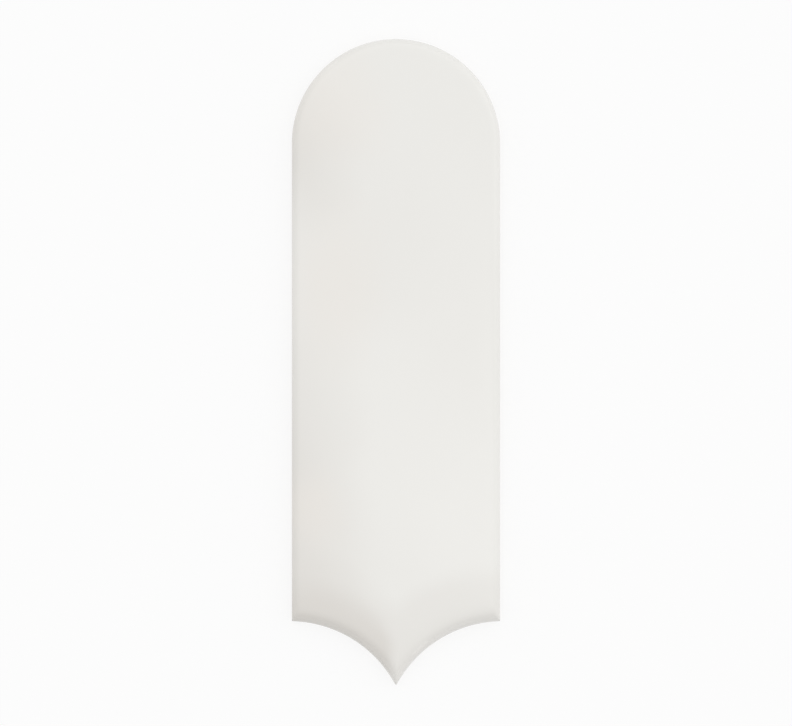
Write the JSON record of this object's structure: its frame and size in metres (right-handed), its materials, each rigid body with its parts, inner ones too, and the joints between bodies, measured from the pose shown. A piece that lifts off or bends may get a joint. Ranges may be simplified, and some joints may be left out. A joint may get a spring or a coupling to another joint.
{
  "type": "fish scale tile",
  "caption": "Long glazed ceramic wall tile with an arched head, straight sides and a pointed tail between two hollows, so that rows nest like scales; ribbed back for adhesive.",
  "frame": {"origin": "centre of the back's outline box, on the plane of the back", "axes": "+Z out of the glazed face, +Y along the tile to the arched head, +X across it; it lies on its back"},
  "size_m": [0.065, 0.202, 0.0085],
  "materials": {
    "glaze": "glossy off-white glaze over the face and down the sides, bare cream biscuit at the back"
  },
  "bodies": {
    "root": {"fish_scale_tile": "glaze"}
  },
  "joints": []
}
